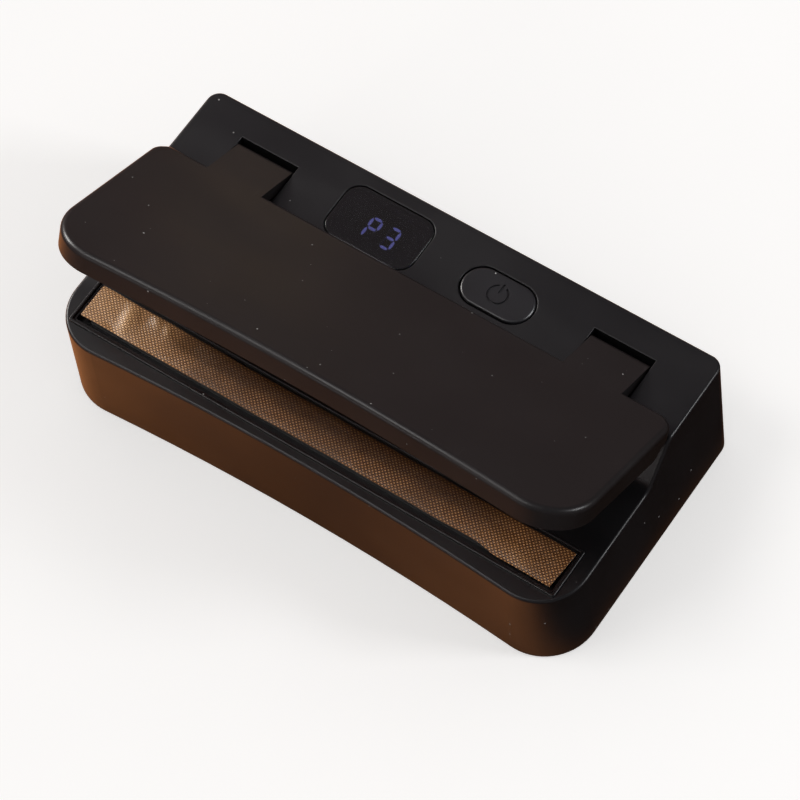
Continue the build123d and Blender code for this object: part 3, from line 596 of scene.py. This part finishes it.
def digit_layout():
    """Middle, and whether upright, of every bar of both digits, from the CAD segments' box."""
    low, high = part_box("display_segments")
    half_gap = (high.x - low.x) * digit_offset
    middle_x = (low.x + high.x) / 2
    half_height = (high.y - low.y) / 2 - bar_seat / 2
    middle_y = (low.y + high.y) / 2
    half_width = (high.x - low.x) / 2 - half_gap - bar_seat / 2
    bars = {}
    for digit, side in enumerate(sides):
        x = middle_x + side * half_gap
        bars[digit, "a"] = (x, middle_y + half_height, False)
        bars[digit, "g"] = (x, middle_y, False)
        bars[digit, "d"] = (x, middle_y - half_height, False)
        bars[digit, "b"] = (x + half_width, middle_y + half_height / 2, True)
        bars[digit, "c"] = (x + half_width, middle_y - half_height / 2, True)
        bars[digit, "f"] = (x - half_width, middle_y + half_height / 2, True)
        bars[digit, "e"] = (x - half_width, middle_y - half_height / 2, True)
    return bars


def digit_segments(name, lit, material):
    """All the lit bars of the display, or all the dark ones, as one piece."""
    low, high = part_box("display_segments")
    joined = bmesh.new()
    for (digit, letter), (x, y, upright) in digit_layout().items():
        if (letter in lit_bars[digit]) != lit:
            continue
        levels = (low.z, low.z + shoulder_share * (high.z - low.z), high.z)
        length = upright_bar if upright else level_bar
        rings = [leaf_ring(length, width, z, upright, (x, y)) for z, width in zip(levels, bar_widths)]
        joined.from_mesh(lofted_mesh(name, rings))
    mesh = bpy.data.meshes.new(name)
    joined.to_mesh(mesh)
    joined.free()
    piece = add_object(name, mesh, smooth=False)
    stand_for(piece, "case", "display_glow", material, "display_segments")


# ---------------------------------------------------------------- return springs
spring_wire = 0.7 * mm
spring_turns = 7.5
spring_closed_turns = 1.0      # turns wound tight at each end
points_per_turn = 28
points_round_wire = 12


def return_spring(node, material):
    """Compression spring with its end turns closed."""
    low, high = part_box(node)
    middle = (low + high) / 2
    radius = (high.x - low.x - spring_wire) / 2
    bottom = low.z + spring_wire / 2
    travel = high.z - low.z - spring_wire
    steps = int(spring_turns * points_per_turn)
    centres = []
    for step in range(steps + 1):
        turn = step / points_per_turn
        open_share = (turn - spring_closed_turns) / (spring_turns - 2 * spring_closed_turns)
        end_rise = spring_wire / travel
        share = end_rise + min(max(open_share, 0.0), 1.0) * (1 - 2 * end_rise)
        share -= end_rise * max(1 - turn / spring_closed_turns, 0.0)
        share += end_rise * max(1 - (spring_turns - turn) / spring_closed_turns, 0.0)
        angle = 2 * math.pi * turn
        centres.append((middle.x + radius * math.cos(angle), middle.y + radius * math.sin(angle),
                        bottom + share * travel))
    mesh = lofted_mesh(node + "_coil", tube_sections(centres, spring_wire / 2, points_round_wire))
    coil = add_object(node + "_coil", mesh)
    stand_for(coil, "case", "spring_steel", material, node)
    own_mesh(coil)


# ---------------------------------------------------------------- pressure pad
pad_crown = 0.35 * mm          # the middle of the pad's face stands over its edges by this much
pad_corner = 0.5 * mm
pad_round_from = 0.86          # the long edges are rounded from this share of the half width
pad_edge_lift = 0.6            # how far they rise there, as a share of the corner
pad_clearance = 0.05 * mm      # under the CAD solid's face
pad_wavers = ((0.03 * mm, 190.0, 0.0), (0.02 * mm, 430.0, 1.0))   # height, waves per metre times 2 pi, start
sections_along = 120
points_across = 17


def pressure_pad(material):
    """Silicone strip under the lid with a softly crowned face and rounded ends."""
    low, high = box_when_closed("pressure_pad")
    reopen = hinge_turn(-closing_angle())
    half_width = (high.y - low.y) / 2
    middle_y = (high.y + low.y) / 2
    sections = []
    for x in end_rounded(low.x, high.x, pad_corner, sections_along):
        inset = end_inset(x, low.x, high.x, pad_corner)
        waver = sum(height * math.sin(x * rate + start) for height, rate, start in pad_wavers)
        ring = []
        for share in np.linspace(-1, 1, points_across):
            past_edge = max(0.0, abs(share) - pad_round_from) / (1 - pad_round_from)
            rounding = pad_edge_lift * pad_corner * past_edge ** 2
            y = middle_y + share * (half_width - inset)
            z = low.z + pad_crown * share ** 2 + rounding + inset + waver + pad_clearance
            ring.append(reopen @ Vector((x, y, z)))
        for share in (1, 0.5, 0, -0.5, -1):
            ring.append(reopen @ Vector((x, middle_y + share * (half_width - inset), high.z)))
        sections.append(ring)
    pad = add_object("silicone_pressure_pad", lofted_mesh("silicone_pressure_pad", sections))
    stand_for(pad, "lid", "pad_silicone", material, "pressure_pad")


def end_rounded(low, high, corner, count):
    """Places along a strip, closer together where its ends are rounded."""
    ends = corner * (1 - np.cos(np.linspace(0, math.pi / 2, 6)))
    return [*(low + ends), *np.linspace(low + 2 * corner, high - 2 * corner, count), *(high - ends[::-1])]


def end_inset(x, low, high, corner):
    """How far a rounded end pulls the outline in at x."""
    depth = min(x - low, high - x)
    if depth >= corner:
        return 0.0
    return corner - math.sqrt(corner ** 2 - (corner - depth) ** 2)


# ---------------------------------------------------------------- studio
def flat_plane(name, half, z, material):
    """Square plane at that height, which belongs to the stage and not to the object."""
    places = np.array([[(-half, -half, z), (half, -half, z)], [(-half, half, z), (half, half, z)]])
    plane = add_object(name, grid_mesh(name, places))
    plane.data.materials.append(material)
    plane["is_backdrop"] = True
    return plane


floor_half = 4.0
table_half = 1.5
table_height = 0.2 * mm        # the mirrored table lies just over the paper
paper_glow = 0.52              # the paper is also lit from below, so that the shadows stay pale


def floor_paper():
    """Pale matt paper."""
    finish = Finish("pale_paper", specular=0.1)
    shade = finish.mix(finish.noise(6.0, 4.0), tone((0.80, 0.79, 0.78)), tone((0.84, 0.83, 0.82)))
    finish.bump(finish.noise(900.0, 3.0), 20.0e-6, 0.3)
    finish.feed(finish.shader.inputs["Emission Color"], shade)
    finish.shader.inputs["Emission Strength"].default_value = paper_glow
    return finish.finish(shade, 0.9)


wood_near = 0.13               # the mirrored wood fades to grey this far from the object's middle
wood_far = 0.24
# Brightness of the wood along X, as (place, factor): dark to the right, where the object shades it.
wood_along = ((-0.095, 3.3), (-0.05, 1.95), (0.0, 1.15), (0.055, 1.95), (0.072, 1.4), (0.084, 0.04))


def warm_wood():
    """What the glossy walls mirror: a warm wooden table top, which the camera never sees."""
    finish = Finish("warm_wood", specular=0.0)
    grain = finish.noise(14.0, 3.0, finish.stretched((1.0, 5.0, 1.0)))
    shade = finish.mix(grain, tone((0.50, 0.182, 0.060)), tone((0.66, 0.252, 0.092)))
    parts = finish.add("ShaderNodeSeparateXYZ", {0: finish.place})
    along = finish.span(parts.outputs[0], wood_along[0][0], wood_along[-1][0])
    ramp = finish.add("ShaderNodeValToRGB", {0: along})
    fill_ramp(ramp.color_ramp, wood_along)
    shade = finish.add("ShaderNodeMix", {0: 1.0, 6: shade, 7: ramp.outputs[0]}, data_type="RGBA",
                       blend_type="MULTIPLY").outputs[2]
    away = finish.add("ShaderNodeVectorMath", {0: finish.place}, operation="LENGTH").outputs["Value"]
    shade = finish.mix(finish.range(away, wood_near, wood_far, 0.0, 1.0), shade, tone((0.18, 0.145, 0.15)))
    return finish.finish(shade, 0.9)


def fill_ramp(ramp, stops):
    """Sets a ramp's greys from (place, factor) pairs, with the first place at 0 and the last at 1."""
    first, last = stops[0][0], stops[-1][0]
    for _ in stops[2:]:
        ramp.elements.new(0.5)
    for element, (place, factor) in zip(ramp.elements, stops):
        element.position = (place - first) / (last - first)
        element.color = tone((factor, factor, factor))


def studio_floor():
    """Paper that the object stands on, and a table that only its glossy walls mirror."""
    floor = flat_plane("floor", floor_half, 0.0, floor_paper())
    floor.visible_glossy = False
    table = flat_plane("warm_table", table_half, table_height, warm_wood())
    table.visible_camera = False
    table.visible_diffuse = False
    table.visible_shadow = False
    table.visible_transmission = False


def softbox(name, direction, distance, size, power, colour):
    """Light of that size in metres and power in watts, that far from the origin and turned to it."""
    light = bpy.data.lights.new(name, "AREA")
    light.shape = "RECTANGLE"
    light.size, light.size_y = size
    light.energy = power
    light.color = colour
    lamp = bpy.data.objects.new(name, light)
    lamp.location = Vector(direction).normalized() * distance
    lamp.rotation_mode = "QUATERNION"
    lamp.rotation_quaternion = Vector(direction).to_track_quat("Z", "Y")
    lamp.visible_camera = False
    bpy.context.scene.collection.objects.link(lamp)
    return lamp


def light_only(lamp, pieces):
    """Lets a light fall on these pieces alone."""
    subjects = bpy.data.collections.new(lamp.name + "_subjects")
    for piece in pieces:
        subjects.objects.link(piece)
    lamp.light_linking.receiver_collection = subjects


def studio_lights():
    """The softboxes. Three of them fall on a few pieces alone and leave the paper as it is."""
    softbox("front_light", (-0.33, -0.27, 0.90), 1.25, (0.42, 0.42), 2.4, (1.0, 0.99, 0.98))
    softbox("low_light", (-0.33, -0.85, 0.40), 1.2, (0.16, 0.10), 0.4, (1.0, 0.99, 0.98))
    left = softbox("left_light", (-0.85, 0.05, 0.53), 1.2, (0.42, 0.42), 9.5, (1.0, 0.98, 0.95))
    softbox("right_light", (0.78, 0.36, 0.52), 1.2, (0.26, 0.26), 3.4, (0.97, 0.98, 1.0))
    button = softbox("button_light", (0.70, 0.36, 0.62), 1.2, (0.55, 0.55), 9.0, (0.95, 0.97, 1.0))
    tab = softbox("tab_light", (-0.49, 0.74, 0.46), 0.232, (0.05, 0.05), 0.0032, (1.0, 0.74, 0.36))
    light_only(left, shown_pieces())
    light_only(button, [frame["nodes"]["power_button"]])
    light_only(tab, [frame["nodes"]["lid_shell"]])


# The room as gloss mirrors it: colours at the horizon and high up, times a tint from left to right.
room_low = (0.275, 0.232, 0.224)
room_high = (0.165, 0.160, 0.178)
room_high_from = 0.9           # height, as a share of straight up
room_left = (1.26, 0.98, 0.96)
room_right = (0.70, 0.70, 0.72)
room_side_ends = (-0.6, 0.0)   # the tint changes between these places along X
room_light = (0.42, 0.42, 0.42)    # what matt surfaces get
backdrop_white = (1.0, 1.0, 1.0)   # what the camera sees


def studio_world():
    """Soft room light: dim overhead, paler towards the horizon, even for matt surfaces, white behind."""
    world = bpy.data.worlds.new("studio")
    world.use_nodes = True
    bpy.context.scene.world = world
    tree = world.node_tree
    nodes, links = tree.nodes, tree.links
    place = nodes.new("ShaderNodeTexCoord")
    parts = nodes.new("ShaderNodeSeparateXYZ")
    links.new(place.outputs["Generated"], parts.inputs[0])
    height = nodes.new("ShaderNodeValToRGB")
    links.new(parts.outputs["Z"], height.inputs[0])
    ramp = height.color_ramp
    ramp.elements[0].color = tone(room_low)
    ramp.elements[0].position = 0.0
    ramp.elements[1].color = tone(room_high)
    ramp.elements[1].position = room_high_from
    sideways = nodes.new("ShaderNodeMapRange")
    sideways.data_type = "FLOAT_VECTOR"
    links.new(parts.outputs["X"], sideways.inputs[6])
    ends = [(end,) * 3 for end in room_side_ends]
    for socket, value in zip(sideways.inputs[7:11], (*ends, room_left, room_right)):
        socket.default_value = value
    shaded = nodes.new("ShaderNodeVectorMath")
    shaded.operation = "MULTIPLY"
    links.new(height.outputs[0], shaded.inputs[0])
    links.new(sideways.outputs[1], shaded.inputs[1])
    seen = nodes.new("ShaderNodeLightPath")
    shown = shaded.outputs[0]
    for kind, colour in (("Is Diffuse Ray", room_light), ("Is Camera Ray", backdrop_white)):
        pick = nodes.new("ShaderNodeMix")
        pick.data_type = "RGBA"
        links.new(seen.outputs[kind], pick.inputs[0])
        links.new(shown, pick.inputs[6])
        pick.inputs[7].default_value = tone(colour)
        shown = pick.outputs[2]
    links.new(shown, nodes["Background"].inputs["Color"])


def photo_camera():
    """Camera at the height, side and tilt of the reference view."""
    azimuth = math.radians(42.638)
    elevation = math.radians(61.086)
    roll = math.radians(-9.491)
    distance = 0.9409
    back = Vector((math.sin(azimuth) * math.cos(elevation), -math.cos(azimuth) * math.cos(elevation),
                   math.sin(elevation)))
    level = (-back).cross(Vector((0, 0, 1))).normalized()
    upright = level.cross(-back)
    right = level * math.cos(roll) + upright * math.sin(roll)
    above = upright * math.cos(roll) - level * math.sin(roll)
    pose = Matrix((right, above, back)).transposed().to_4x4()
    pose.translation = back * distance
    lens = bpy.data.cameras.new("camera")
    lens.sensor_width = 36.0
    lens.lens = 158.71
    lens.shift_x = 0.01173
    lens.shift_y = 0.01362
    lens.clip_start = 0.01
    camera = bpy.data.objects.new("camera", lens)
    camera.matrix_world = pose
    bpy.context.scene.collection.objects.link(camera)
    bpy.context.scene.camera = camera


# ---------------------------------------------------------------- the whole scene
photo_camera()
finishes = slot_finishes()
dress_frame(finishes)
sealing_cloth(finishes["glass_cloth"])
digit_segments("digit_segments_lit", True, digit_light("lit_segment", lit_strength))
digit_segments("digit_segments_dark", False, finishes["display_glow"])
for spring_node in ("return_spring_left", "return_spring_right"):
    return_spring(spring_node, finishes["spring_steel"])
pressure_pad(finishes["pad_silicone"])

studio_floor()
studio_world()
studio_lights()
bpy.context.scene.view_settings.view_transform = "Standard"
